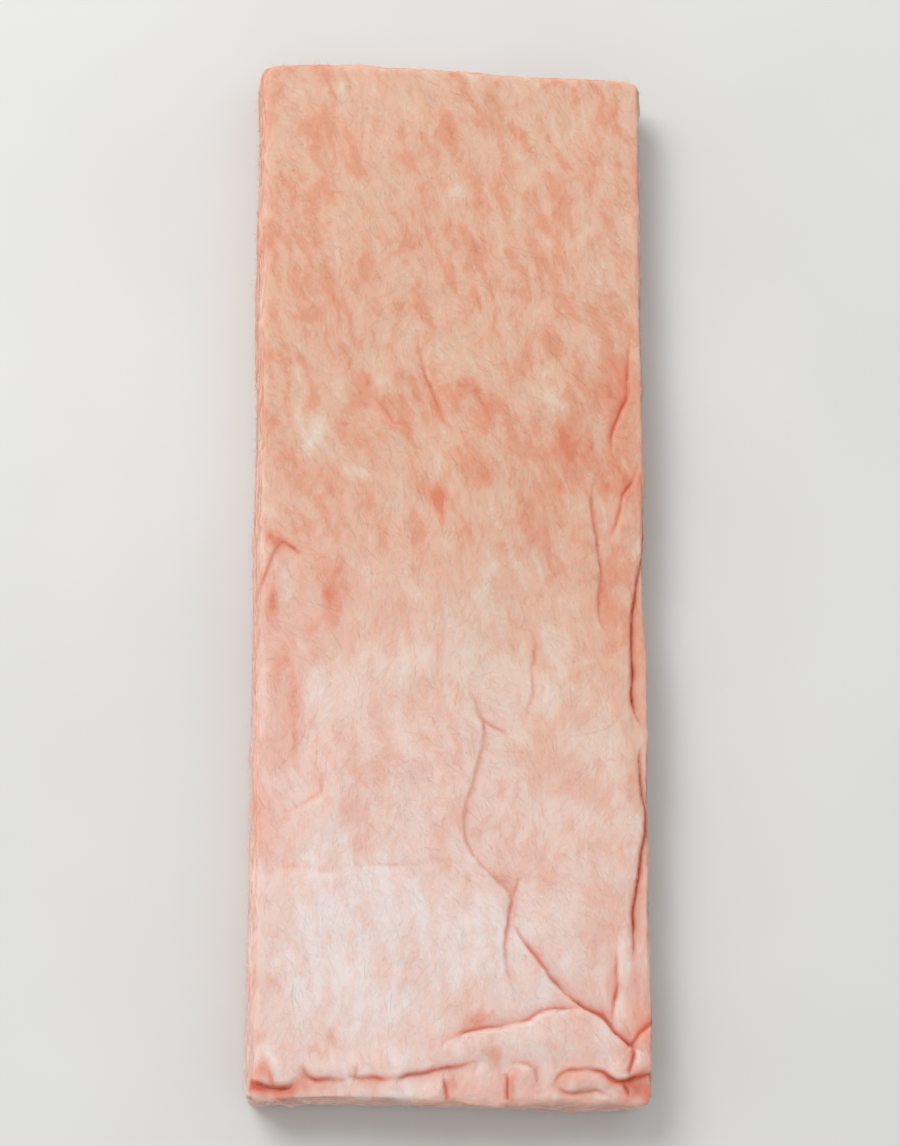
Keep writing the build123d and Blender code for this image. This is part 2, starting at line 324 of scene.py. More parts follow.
# Where the dye lies thicker or thinner, and the painted shade near the lower right corner, along the left
# edge
# # and in the deep tuck at the foot end, each by its distance in from the left side and up from the foot end
BLUSHES_AND_SHADE = patches(
    (82, 558, 15, 19, 1.3, -15), (201, 664, 8, 28, 1.15), (157, 740, 6, 17, 0.8, -35),
    (142, 768, 20, 13, 0.5), (345, 720, 32, 32, 0.75), (402, 690, 26, 26, 0.6), (240, 686, 20, 13, 0.5),
    (302, 622, 7, 17, 0.5, -30), (62, 655, 28, 10, 0.35, 20), (92, 742, 22, 9, 0.45, 20),
    (30, 690, 20, 14, 0.3), (235, 775, 26, 14, 1), (8, 515, 8, 22, 0.6), (24, 440, 22, 22, 0.45),
    (70, 520, 24, 12, 0.45, -40), (131, 498, 6, 16, 0.45, -30), (36, 395, 13, 28, 0.6),
    (114, 292, 10, 18, 0.55), (4, 300, 9, 30, 0.6), (272, 236, 16, 14, 0.5), (330, 225, 45, 14, 0.3),
    (241, 81, 12, 6, 1.1), (205, 120, 45, 16, 0.35, 20), (271, 18, 5, 14, 1.5), (204, 14, 6, 12, 1),
    (66, 54, 7, 5, 0.7), (84, 68, 4, 10, 0.6), (340, 22, 30, 12, 0.5), (255, 46, 5, 9, 0.6),
    (408, 70, 14, 22, 0.5), (26, 15, 24, 8, 1.4), (90, 12, 50, 13, 0.8), (300, 8, 110, 14, 0.2),
    (172, 14, 28, 14, -0.4), (412, 14, 16, 12, 1.5), (422, 48, 10, 20, 0.5), (395, 470, 16, 26, 0.3),
    (62, 730, 14, 27, -1.1), (332, 772, 26, 14, -0.6), (388, 632, 14, 26, -0.5),
    (176, 466, 38, 14, -0.45), (318, 452, 34, 15, -0.4), (68, 430, 13, 30, -0.6),
    (165, 365, 14, 24, -0.35), (76, 300, 22, 20, -0.5), (100, 183, 90, 62, -0.6),
    (200, 200, 60, 40, -0.3, 20), (42, 40, 20, 11, -0.5), (12, 38, 11, 10, -0.7),
    (40, 610, 55, 60, 0.35), (50, 480, 50, 60, 0.3), (107, 635, 24, 24, 0.3), (215, 672, 40, 28, 0.3),
    (236, 500, 60, 60, -0.25), (385, 405, 38, 40, -0.4), (290, 148, 40, 40, -0.35),
    (395, 105, 36, 46, 0.45), (416, 70, 14, 28, 0.5), (40, 360, 30, 40, 0.25), (190, 765, 14, 24, 0.35),
    (120, 792, 40, 20, -0.35), (150, 690, 14, 34, -0.4, 10), (320, 725, 20, 14, -0.3),
    (190, 76, 28, 16, 0.45), (14, 650, 9, 44, -0.45), (6, 590, 8, 15, -0.7), (22, 590, 6, 8, 1.1, 30),
    (120, 95, 90, 32, -0.4), (263, 135, 13, 38, -0.6), (318, 118, 16, 18, -0.45),
    (148, 45, 18, 12, -0.6), (380, 78, 14, 14, -0.4), (402, 150, 6, 30, -0.5), (20, 560, 12, 16, -0.5),
    (10, 516, 8, 14, 0.8), (365, 709, 9, 12, 0.5), (400, 664, 26, 7, 0.4), (295, 650, 8, 22, 0.4, -30),
    (46, 428, 8, 14, 0.4), (98, 333, 9, 8, 0.4), (139, 379, 5, 11, 0.4), (395, 575, 16, 45, 0.35),
    (190, 372, 9, 26, 0.25, -35), (110, 700, 7, 26, -0.4, -35), (250, 560, 60, 60, -0.3),
    (279, 425, 28, 34, -0.5), (390, 782, 32, 26, 0.65), (14, 350, 22, 70, 0.35),
    (420, 140, 12, 90, 0.5), (385, 215, 40, 26, 0.3), (12, 122, 18, 28, 0.4), (368, 125, 20, 22, 0.4),
)

# The hollow in the corner below the side tuck, painted with as much shade as a fold
CORNER_PAINTED_SHADE = Patch(418, 15, 13, 12, 0.9)


def face_height(x, y):
    """How high the room face stands at a point, before the folds."""
    across = 2 * x / WIDTH
    along = 2 * y / LENGTH
    crown = CROWN * (across**2 + along**4)
    wave = np.sin(2 * pi * (y / WAVE_LENGTH + x / WAVE_WIDTH))
    wave += np.cos(2 * pi * (x / WAVE_WIDTH - 0.6 * y / WAVE_LENGTH))
    return THICKNESS - crown + WAVE_HEIGHT * wave


def ramp_up(values, start, end):
    """From 0 at start to 1 at end, and level beyond them."""
    return np.clip((values - start) / (end - start), 0, 1)


def headward_share(points):
    """0 towards the foot end and 1 towards the head end, where the wool is warmer and leans over."""
    share = ramp_up(points[:, 1] + HEADWARD_SLANT * points[:, 0], HEADWARD_FROM, HEADWARD_TO)
    return share * share * (3 - 2 * share)


def foot_share(points):
    """1 at the foot end, where the wool is crumpled, and fading out up the batt."""
    return np.exp(-(((points[:, 1] + LENGTH / 2) / CRUMPLED_FOOT) ** 2))


def top_share(points):
    """1 on the room face and down into its folds, and fading to 0 on the way down the sides."""
    return ramp_up(points[:, 2] / THICKNESS, 0.5, 0.8)


def cloud(points, size, step):
    """Smooth random values from -1 to 1 at each point. Size is how large the lumps are along each axis, in
    millimetres, and each cloud has a step of its own."""
    cells = 64
    lattice = np.random.default_rng(SEED + step).random((cells, cells, cells))
    at = points / (np.asarray(size) * MM)
    cell = np.floor(at).astype(int)
    part = at - cell
    part = part * part * (3 - 2 * part)
    total = np.zeros(len(points))
    for corner in product((0, 1), repeat=3):
        weight = np.prod(np.where(corner, part, 1 - part), axis=1)
        total += weight * lattice[tuple(((cell + corner) % cells).T)]
    return 2 * total - 1


def dunes_at(points, dunes):
    """How high some dunes stand at each point, in millimetres."""
    return sum(height * cloud(points, (across, along, FLAT), step) for height, across, along, step in dunes)


def spread(points, patch):
    """How much of a patch each point gets: 1 at its middle, and fading out past its half sizes."""
    centre = from_left(patch.inset, patch.up)
    turn = radians(patch.lean)
    x = (points[:, 0] - centre[0]) * cos(turn) - (points[:, 1] - centre[1]) * sin(turn)
    y = (points[:, 0] - centre[0]) * sin(turn) + (points[:, 1] - centre[1]) * cos(turn)
    far = (x / (patch.half_width * MM)) ** 2 + (y / (patch.half_height * MM)) ** 2
    return np.exp(-(far**EDGE_STEEPNESS) / EDGE_SOFTNESS)


def total_of(points, patches):
    """The amounts of all the patches at each point, added up."""
    return sum(patch.amount * spread(points, patch) for patch in patches)


def dye_and_shade(points):
    """How much redder the wool is at each point than its surroundings, less how much paler. Near the lower
    right corner, along the left edge and in the deep tuck at the foot end, this is painted shade.
    """
    spots = points.copy()
    for axis, pull, across, along, step in WISP_PULLS:
        spots[:, axis] += MM * cloud(points, (across, along, FLAT), step) * pull
    return total_of(spots, BLUSHES_AND_SHADE)


def smooth_route(fold):
    """A Catmull-Rom curve through a fold's stops, as points about ROUTE_STEP apart, with a slight tremble."""
    knots = np.array([from_left(*stop) for stop in fold.route])
    knots = np.vstack([2 * knots[0] - knots[1], knots, 2 * knots[-1] - knots[-2]])
    pieces = []
    for a, b, c, d in zip(knots, knots[1:], knots[2:], knots[3:]):
        count = max(2, round(np.linalg.norm(c - b) / ROUTE_STEP))
        t = np.linspace(0, 1, count, endpoint=False)[:, None]
        bend = 2 * a - 5 * b + 4 * c - d
        pieces.append(0.5 * (2 * b + (c - a) * t + bend * t**2 + (3 * (b - c) + d - a) * t**3))
    route = np.vstack([*pieces, knots[-2:-1]])
    spots = np.column_stack([route, np.zeros(len(route))])
    near_foot = foot_share(route)
    for axis in range(2):
        route[:, axis] += (1.6 + 1.4 * near_foot) * MM * cloud(spots, (22, 22, FLAT), 14 + axis)
        route[:, axis] += 0.6 * MM * cloud(spots, (8, 8, FLAT), 16 + axis)
    return route


def near_route(spots, route, reach):
    """For the spots within reach of a route: which they are, how far off it and along it, and its heading."""
    low = route.min(axis=0) - reach
    high = route.max(axis=0) + reach
    inside = np.flatnonzero(((spots > low) & (spots < high)).all(axis=1))
    heading = np.gradient(route, axis=0)
    heading /= np.linalg.norm(heading, axis=1)[:, None]
    steps = np.linalg.norm(np.diff(route, axis=0), axis=1)
    along = np.concatenate([[0], np.cumsum(steps)])
    found = []
    for chunk in np.array_split(inside, max(1, len(inside) // SPOTS_AT_ONCE)):
        apart = np.linalg.norm(spots[chunk][:, None] - route[None], axis=2)
        found.append(apart.argmin(axis=1))
    nearest = np.concatenate(found)
    offset = spots[inside] - route[nearest]
    distance = np.linalg.norm(offset, axis=1)
    left = heading[nearest][:, 0] * offset[:, 1] - heading[nearest][:, 1] * offset[:, 0]
    close = distance < reach
    side = np.where(left >= 0, 1.0, -1.0)
    return inside[close], (side * distance)[close], along[nearest][close], heading[nearest][close]


def strength_along(fold, along, total):
    """How strong a fold is at a distance along it, from 0 where it starts to 1."""
    fade = np.ones(len(along))
    if fold.fades_in:
        fade = np.minimum(fade, along / min(fold.fades_in * MM, total / 2))
    if fold.fades_out:
        fade = np.minimum(fade, (total - along) / min(fold.fades_out * MM, total / 2))
    return np.sin(pi / 2 * np.clip(fade, 0, 1))


def depth_along(fold, along, total):
    """How deep a fold is pressed at a distance along it."""
    depth_out = fold.depth if fold.depth_out < 0 else fold.depth_out
    return MM * PRESSED_SHARE * (fold.depth + (depth_out - fold.depth) * along / total)


def painted_fold_shade(points):
    """How much of the folds' painted shade each point has, from 0 to 1, with the corner hollow's painted
    shade.
    It is sharp on the lobe, and runs out slowly on the slope."""
    spots = points[:, :2]
    uneven = cloud(points * (1, 1, 0), (16, 16, FLAT), 24)
    shade = np.zeros(len(points))
    for fold in FOLDS:
        route = smooth_route(fold)
        which, off, along, _ = near_route(spots, route, PAINTED_SHADE_REACH)
        if not len(which):
            continue
        off = off * fold.over / MM
        total = ROUTE_STEP * (len(route) - 1)
        fade = strength_along(fold, along, max(total, along.max()))
        strength = fold.shade_tint * np.clip(0.4 + depth_along(fold, along, total) / FULL_SHADE_DEPTH, 0, 1.3)
        lobe = np.exp(-((off / fold.shade_tint_up) ** 2))
        slope = 0.6 * np.exp(-((off / 3) ** 2)) + 0.4 * strength * np.exp(-((off / 10) ** 2))
        shade[which] = np.maximum(shade[which], np.where(off > 0, lobe, slope) * fade * strength)
    # Painted shade in the corner hollow
    shade = np.maximum(shade, total_of(points, [CORNER_PAINTED_SHADE]))
    return np.clip(shade * (0.88 + 0.4 * uneven), 0, 1)


def press_folds(points, up_share):
    """Moves the points of the room face into its folds."""
    spots = points[:, :2].copy()
    sink = np.zeros(len(points))
    shift = np.zeros((len(points), 2))
    swell = np.zeros(len(points))
    lip_top = pi / 2
    lip_bottom = radians(-4)
    for fold in FOLDS:
        which, off, along, heading = near_route(spots, smooth_route(fold), 3 * PUFF_SPREAD)
        off = off * fold.over
        total = along.max()
        route_spots = np.column_stack([spots[which], np.full(len(which), fold.depth)])
        fade = strength_along(fold, along, total)
        fade *= 0.82 + 0.25 * cloud(route_spots, (45, 45, FLAT), 18)
        fade *= 1 + 0.35 * foot_share(spots[which]) * cloud(route_spots, (13, 13, FLAT), 34)
        depth = depth_along(fold, along, total)
        lip = fold.lip * MM
        slope = fold.slope * MM

        over = (off >= 0) & (off < lip)
        turn = lip_bottom + (lip_top - lip_bottom) * np.clip(off / lip, 0, 1)
        drop = np.zeros(len(which))
        slide = np.zeros(len(which))
        drop[over] = (depth * (1 - np.sin(turn)) / (1 - sin(lip_bottom)))[over]
        slide[over] = (lip - lip * np.cos(turn) - off)[over]
        under = (off < 0) & (off > -slope)
        dive = np.clip(1 + off / slope, 0, 1)
        drop[under] = (depth * dive**2.2)[under]

        drop *= fade
        slide *= fade * np.minimum(1, depth / FULL_OVERHANG_DEPTH)
        deeper = drop > sink[which]
        chosen = which[deeper]
        sink[chosen] = drop[deeper]
        aside = np.stack([-heading[:, 1], heading[:, 0]], axis=1) * fold.over
        shift[chosen] = (aside * slide[:, None])[deeper]

        puff = np.exp(-((off - lip) / PUFF_SPREAD).clip(0) ** 2) * (off > 0)
        puff = puff * np.clip(off / lip, 0, 1)
        swell[which] += fold.puff * MM * fade * puff
        settle = np.exp(-((off / (0.8 * PUFF_SPREAD)) ** 2)) * (off <= 0)
        swell[which] -= fold.drop * MM * fade * settle

    points[:, :2] += shift * up_share[:, None]
    points[:, 2] += (swell - sink) * up_share


def deselect():
    bpy.ops.object.select_all(action="DESELECT")


def select_in_edit(piece, kind, wanted):
    """Makes edit mode's selection the edges or faces that wanted picks."""
    mesh = bmesh.from_edit_mesh(piece.data)
    bpy.ops.mesh.select_mode(type=kind)
    bpy.ops.mesh.select_all(action="DESELECT")
    items = mesh.edges if kind == "EDGE" else mesh.faces
    for item in items:
        item.select = wanted(item)
    if kind == "FACE":
        mesh.select_flush(True)
    bmesh.update_edit_mesh(piece.data)


def runs_along(edge, axis):
    """Whether an edge lies along an axis."""
    a, b = edge.verts
    step = b.co - a.co
    return abs(step[axis]) > 0.9 * step.length


def near_a_fold(spots):
    """Whether each spot is near a fold that is deep enough to need fine faces."""
    near = np.zeros(len(spots), bool)
    for fold in FOLDS:
        if max(fold.depth, fold.depth_out) < FINE_FOLD_DEPTH:
            continue
        which, off, _, _ = near_route(spots, smooth_route(fold), FOLD_REACH)
        near[which[off * fold.over > -0.8 * FOLD_REACH]] = True
    return near


def cut_block():
    """The cube that the batt is shaped from, divided coarsely on its back, finely on its face and sides, and
    more finely along its folds."""
    deselect()
    bpy.ops.mesh.primitive_cube_add(size=1, location=(0, 0, THICKNESS / 2))
    block = bpy.context.object
    block.name = "batt_wool"
    block.data.name = "batt_wool"
    block.scale = (WIDTH, LENGTH, THICKNESS)
    bpy.ops.object.transform_apply(location=True, rotation=True, scale=True)
    bpy.ops.object.mode_set(mode="EDIT")
    for axis, size in enumerate((WIDTH, LENGTH, THICKNESS)):
        select_in_edit(block, "EDGE", lambda edge: runs_along(edge, axis))
        bpy.ops.mesh.subdivide(number_cuts=round(size / BLOCK_CELL) - 1)
    for _ in range(2):
        select_in_edit(block, "FACE", lambda face: face.normal.z > -0.5)
        bpy.ops.mesh.subdivide(number_cuts=1)
    mesh = bmesh.from_edit_mesh(block.data)
    centres = np.array([face.calc_center_median()[:2] for face in mesh.faces])
    upward = np.array([face.normal.z > 0.5 for face in mesh.faces])
    fine = near_a_fold(centres) & upward
    for face in mesh.faces:
        face.tag = bool(fine[face.index])
    select_in_edit(block, "FACE", lambda face: face.tag)
    bpy.ops.mesh.subdivide(number_cuts=1)
    bpy.ops.object.mode_set(mode="OBJECT")
    return block


def read_points(mesh):
    found = np.empty(len(mesh.vertices) * 3)
    mesh.vertices.foreach_get("co", found)
    return found.reshape(-1, 3)


def write_points(mesh, points):
    mesh.vertices.foreach_set("co", points.astype(np.float32).ravel())
    mesh.update()


def write_attribute(mesh, name, values):
    layer = mesh.attributes.new(name, "FLOAT", "POINT")
    layer.data.foreach_set("value", values.astype(np.float32))


def roll_edges(points):
    """Rounds the block's corners and shoulders. Returns each point's outward direction in plan, and how near
    the edge it is, from 0 to 1."""
    half = np.array([WIDTH / 2, LENGTH / 2])
    core = np.clip(points[:, :2], -half + CORNER_RADIUS, half - CORNER_RADIUS)
    out = points[:, :2] - core
    reach = np.abs(out).max(axis=1)
    length = np.linalg.norm(out, axis=1)
    outward = out / np.maximum(length, 1e-9)[:, None]
    points[:, :2] = core + outward * reach[:, None]

    depth_in = CORNER_RADIUS - reach
    height = points[:, 2]
    wobble = cloud(points, (60, 60, 60), 0)
    for level, sign, radius in ((THICKNESS, 1, FACE_SHOULDER), (0, -1, BACK_SHOULDER)):
        radius = radius * (1 + 0.35 * wobble)
        inward = np.clip(radius - depth_in, 0, None) * (reach > 0)
        upward = np.clip(radius - sign * (level - height), 0, None)
        largest = np.maximum(inward, upward)
        both = np.hypot(inward, upward)
        shrink = np.where(both > 0, largest / np.maximum(both, 1e-9), 1)
        in_corner = (inward > 0) & (upward > 0)
        pull = np.where(in_corner, inward * (1 - shrink), 0)
        drop = np.where(in_corner, upward * (1 - shrink), 0)
        points[:, :2] -= outward * pull[:, None]
        points[:, 2] -= sign * drop
    return outward, np.clip(reach / CORNER_RADIUS, 0, 1)


def fray_sides(points, outward, height_share, side):
    """Gives the sides their layers, lumps, tufts and nicks. Returns how hollow each point then is, which sets
    the painted shade in the sides' recesses.
    """
    layers = cloud(points, (75, 75, 7), 1)
    thin_layers = cloud(points, (38, 38, 2.8), 2)
    lumps = cloud(points, (34, 34, 26), 3)
    sway = cloud(points, (150, 150, 400), 4)
    bulge = np.sin(pi * height_share)
    push = 1.5 * layers + 0.8 * thin_layers + 1.5 * lumps + 3 * sway + 1.6 * (bulge - 1)
    tufts = cloud(points, (15, 15, 11), 31)
    nicks = cloud(points, (19, 19, 9), 32)
    push += 5 * np.clip(tufts - 0.35, 0, None) - 5 * np.clip(nicks - 0.4, 0, None)
    push += 2.5 * cloud(points, (24, 24, 30), 33) * (outward[:, 1] < -0.5)
    points[:, :2] += outward * (MM * push * side)[:, None]
    hollows = 1.2 * np.clip(nicks - 0.3, 0, None) - 0.5 * layers - 0.35 * thin_layers - 0.3 * lumps
    return np.clip(hollows, 0, 1)


def raise_face(points, height_share):
    """Gives the room face its waves, dunes, swellings and slanting streaks."""
    lift = face_height(points[:, 0], points[:, 1]) - THICKNESS
    dunes = dunes_at(points, DUNES) + foot_share(points) * dunes_at(points, FOOT_DUNES)
    dunes += total_of(points, SWELLINGS)
    headward = headward_share(points)
    for lean, share in ((HEAD_LEAN, headward), (FOOT_LEAN, 1 - headward)):
        turn = radians(lean)
        across = points[:, 0] * cos(turn) + points[:, 1] * sin(turn)
        along = points[:, 1] * cos(turn) - points[:, 0] * sin(turn)
        dunes += share * dunes_at(np.column_stack([across, along, np.zeros(len(points))]), STREAK_DUNES)
    points[:, 2] += (lift + dunes * MM) * height_share


def shape_batt(block):
    """Works the block into the batt: rolled edges, layered sides, the waved face and the folds."""
    mesh = block.data
    points = read_points(mesh)
    on_face = points[:, 2] > THICKNESS - 1e-6
    on_back = points[:, 2] < 1e-6
    outward, edge_share = roll_edges(points)
    height_share = np.clip(points[:, 2] / THICKNESS, 0, 1)
    side = np.where(on_face, 0.6 * ramp_up(edge_share, 0.55, 1), ramp_up(edge_share, 0.3, 1)) * ~on_back
    hollows = fray_sides(points, outward, height_share, side)
    raise_face(points, height_share)
    near_top = top_share(points)
    shade = painted_fold_shade(points)
    press_folds(points, height_share**3)
    points[:, 2] = np.maximum(points[:, 2], 0)
    write_points(mesh, points)
    # Painted shade, from the folds on the face and from the recesses on the sides
    write_attribute(mesh, "painted_shade", np.maximum(shade * near_top, 0.6 * hollows * side * (1 - 0.5 * near_top)))
    write_attribute(mesh, "cut_side", side)
    write_attribute(mesh, "blush_and_shade", dye_and_shade(points) * near_top)


def paint(red, green, blue):
    """A colour written in screen values, as the shader wants it."""
    linear = [((value / 255 + 0.055) / 1.055) ** 2.4 for value in (red, green, blue)]
    return (*linear, 1.0)


class Shader:
    """Adds nodes to a material, each with its settings and inputs in one call."""

    def __init__(self, name):
        self.material = bpy.data.materials.new(name)
        self.material.use_nodes = True
        self.tree = self.material.node_tree
        self.tree.nodes.clear()

    def feed(self, socket, value):
        """Links a socket to another node's output, or sets its value."""
        if isinstance(value, bpy.types.NodeSocket):
            self.tree.links.new(value, socket)
        else:
            socket.default_value = value

    def add(self, kind, inputs=None, **settings):
        node = self.tree.nodes.new("ShaderNode" + kind)
        for name, value in settings.items():
            setattr(node, name, value)
        for name, value in (inputs or {}).items():
            self.feed(node.inputs[name], value)
        return node

    def attribute(self, name):
        return self.add("Attribute", attribute_name=name).outputs["Fac"]

    def math(self, operation, a, b, clamp=False):
        node = self.add("Math", operation=operation, use_clamp=clamp)
        self.feed(node.inputs[0], a)
        self.feed(node.inputs[1], b)
        return node.outputs[0]

    def times(self, a, b, clamp=False):
        return self.math("MULTIPLY", a, b, clamp)

    def minus(self, a, b):
        return self.math("SUBTRACT", a, b)

    def plus(self, total, *values):
        for value in values:
            total = self.math("ADD", total, value)
        return total

    def swing(self, noise, amount):
        """A noise made to swing about 0, by up to half an amount."""
        return self.times(self.minus(noise, 0.5), amount)

    def mix(self, share, a, b):
        node = self.add("Mix", {0: share, 6: a, 7: b}, data_type="RGBA")
        return node.outputs[2]

    def noise(self, vector, scale, detail, roughness=0.5, output="Fac"):
        inputs = {"Vector": vector, "Scale": scale, "Detail": detail, "Roughness": roughness}
        return self.add("TexNoise", inputs).outputs[output]

    def vector_math(self, operation, inputs):
        return self.add("VectorMath", inputs, operation=operation).outputs[0]

    def warped(self, vector, scale, amount):
        """Coordinates that a noise pulls about, so that a pattern runs out in wisps."""
        swirl = self.noise(vector, scale, 2, output="Color")
        shift = self.vector_math("SUBTRACT", {0: swirl, 1: (0.5, 0.5, 0.5)})
        shift = self.vector_math("SCALE", {0: shift, "Scale": amount})
        return self.vector_math("ADD", {0: vector, 1: shift})

    def turned(self, vector, degrees, stretch):
        """Coordinates turned about Z and stretched, so that a pattern runs in streaks."""
        inputs = {"Vector": vector, "Rotation": (0, 0, radians(degrees)), "Scale": stretch}
        return self.add("Mapping", inputs, vector_type="TEXTURE").outputs[0]

    def ramp(self, value, colours, first=0.0, last=1.0):
        """Screen colours in turn, as a value goes from first to last."""
        node = self.add("ValToRGB", {"Fac": value})
        bar = node.color_ramp
        bar.interpolation = "EASE"
        while len(bar.elements) > 1:
            bar.elements.remove(bar.elements[-1])
        bar.elements[0].position = first
        bar.elements[0].color = paint(*colours[0])
        for place, colour in zip(np.linspace(first, last, len(colours))[1:], colours[1:]):
            bar.elements.new(place).color = paint(*colour)
        return node.outputs[0]

    def finish(self, inputs):
        """Gives the material its surface."""
        surface = self.add("BsdfPrincipled", inputs)
        self.add("OutputMaterial", {"Surface": surface.outputs[0]})
        return self.material


def wool_colour(s, place):
    """Pale wisps over salmon, and in thin layers on the cut sides, with painted shade in the folds and the
    sides' recesses.
    """
    warped = s.warped(s.warped(place, 8, 0.06), 38, 0.009)
    where = s.add("SeparateXYZ", {0: place}).outputs
    reach = s.plus(where["Y"], s.times(where["X"], HEADWARD_SLANT))
    limits = {"Value": reach, 1: HEADWARD_FROM, 2: HEADWARD_TO}
    headward = s.add("MapRange", limits, interpolation_type="SMOOTHSTEP").outputs[0]

    blotches = s.noise(warped, 15, 4, 0.6)
    head_streaks = s.noise(s.turned(warped, HEAD_LEAN, (1, 4, 1)), 64, 3, 0.55)
    foot_streaks = s.noise(s.turned(warped, FOOT_LEAN, (1, 5, 1)), 75, 3, 0.5)
    streaks = s.plus(foot_streaks, s.times(s.minus(head_streaks, foot_streaks), headward))
    streakiness = s.plus(s.times(headward, 0.35), 0.6)
    wisps = s.noise(s.turned(warped, -30, (1, 3, 1)), 100, 3, 0.6)
    grain = s.noise(place, 330, 2, 0.6)

    mottle = s.plus(s.swing(blotches, 0.8), s.swing(streaks, streakiness))
    mottle = s.plus(mottle, s.swing(wisps, 0.35), s.swing(grain, 0.12))
    tone = s.minus(0.72, s.times(headward, 0.3))
    # Redder or paler wool from the dye, with painted shade near the lower right corner, along the left edge
    # and in the foot end's deep tuck
    tone = s.minus(tone, s.times(s.attribute("blush_and_shade"), 0.36))
    tone = s.math("ADD", s.plus(tone, mottle), s.attribute("tone_shift"), clamp=True)
    face = s.mix(headward, s.ramp(tone, PINKER), s.ramp(tone, WARMER))

    layers = s.noise(s.turned(warped, 0, (12, 12, 1)), 210, 3, 0.65)
    cut = s.ramp(s.times(s.plus(s.swing(layers, 2.2), tone), 0.62), CUT_SIDE, last=0.8)
    wool = s.mix(s.attribute("cut_side"), face, cut)
    # Painted shade: the folds, the corner hollow and the sides' recesses turn redder and darker
    painted_shade = s.attribute("painted_shade")
    wool = s.mix(s.times(painted_shade, 0.85, clamp=True), wool, paint(*FOLD_SHADE))
    return s.mix(s.times(s.math("POWER", painted_shade, 2.5), 0.9, clamp=True), wool, paint(*DEEP_FOLD_SHADE))


def loose_material():
    """Single fibres of the same wool."""
    s = Shader("loose_glass_wool")
    place = s.add("TexCoord").outputs["Object"]
    surface = {"Base Color": wool_colour(s, place), "Roughness": 0.8}
    return s.finish({**surface, "Diffuse Roughness": 1.0, "Specular IOR Level": 0.05})


def felt_material():
    """The body of the wool, with the relief of matted fibres."""
    s = Shader("felted_glass_wool")
    place = s.add("TexCoord").outputs["Object"]
    streaks = s.noise(s.turned(place, HEAD_LEAN / 2, (1, 4, 1)), 75, 2, 0.55)
    grain = s.noise(place, 330, 2, 0.6)
    hairs = s.noise(s.turned(place, HEAD_LEAN, (1, 8, 1)), 640, 1, 0.7)
    tufts = s.noise(place, 150, 3, 0.62)
    layer_hairs = s.times(s.noise(s.turned(place, 0, (6, 6, 1)), 640, 1, 0.7), s.attribute("cut_side"))
    relief = s.plus(s.times(hairs, 0.5), s.times(streaks, 1.6), s.times(tufts, 1.6))
    relief = s.plus(relief, s.times(grain, 0.5), layer_hairs)
    bump = s.add("Bump", {"Height": relief, "Strength": 0.5, "Distance": 0.0013})
    return s.finish(
        {
            "Base Color": wool_colour(s, place),
            "Roughness": s.plus(s.times(grain, 0.2), 0.75),
            "Normal": bump.outputs[0],
            "Diffuse Roughness": 1.0,
            "Subsurface Weight": 0.5,
            "Subsurface Radius": (0.009, 0.004, 0.003),
            "Subsurface Scale": 1.0,
            "Sheen Weight": 0.1,
            "Sheen Roughness": 0.6,
            "Specular IOR Level": 0.1,
        }
    )


def make_batt():
    batt = cut_block()
    shape_batt(batt)
    batt.data.materials.append(felt_material())
    batt.data.shade_smooth()
    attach(batt, "root")
    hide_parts("glass_wool_batt")
    return batt


def surface_spots(batt, count, choose, rng):
    """Random places on the batt's surface, spread over the faces that choose picks, and their normals."""
    mesh = batt.data
    mesh.calc_loop_triangles()
    corners = np.empty(len(mesh.loop_triangles) * 3, np.int32)
    mesh.loop_triangles.foreach_get("vertices", corners)
    points = read_points(mesh)
    a, b, c = (points[corners.reshape(-1, 3)[:, i]] for i in range(3))
    cross = np.cross(b - a, c - a)
    area = np.linalg.norm(cross, axis=1)
    normal = cross / np.maximum(area, 1e-12)[:, None]
    weight = area * choose((a + b + c) / 3, normal)
    face = rng.choice(len(area), count, p=weight / weight.sum())
    u = np.sqrt(rng.random(count))[:, None]
    v = rng.random(count)[:, None]
    spots = (1 - u) * a[face] + u * (1 - v) * b[face] + u * v * c[face]
    return spots, normal[face]


def along_surface(batt, spots, normals, heading, length, lift, curl, rng):
    """Paths that hug the surface, each with FIBRE_POINTS points. Heading is each path's first direction."""
    tree = BVHTree.FromObject(batt, bpy.context.evaluated_depsgraph_get())
    paths = np.empty((len(spots), FIBRE_POINTS, 3))
    at, normal, way = spots.copy(), normals.copy(), heading
    for step in range(FIBRE_POINTS):
        arch = sin(pi * step / (FIBRE_POINTS - 1))
        paths[:, step] = at + normal * (lift * (0.1 + arch))[:, None]
        side = np.cross(normal, way)
        way = way + side * (curl * rng.normal(size=len(spots)))[:, None]
        way -= normal * np.sum(way * normal, axis=1)[:, None]
        way /= np.linalg.norm(way, axis=1)[:, None]
        ahead = at + way * (length / (FIBRE_POINTS - 1))[:, None]
        for i, spot in enumerate(ahead):
            place, facing, _, _ = tree.find_nearest(spot)
            at[i] = place
            normal[i] = facing
    return paths


def mat_down(batt, kind, spots, normals, heading, rng):
    """The paths, widths and flatness of wisps of one kind."""
    count = len(spots)
    length = rng.uniform(*kind.length, count) * MM
    lift = rng.gamma(2, kind.lift, count) * MM
    width = np.clip(rng.lognormal(kind.log_width, 0.45, count), kind.narrowest, 0.8) * MM
    flatness = np.clip(kind.thickness / (width / MM), kind.flattest, 1)
    curl = rng.uniform(*kind.curl, count)
    return along_surface(batt, spots, normals, heading, length, lift, curl, rng), width, flatness


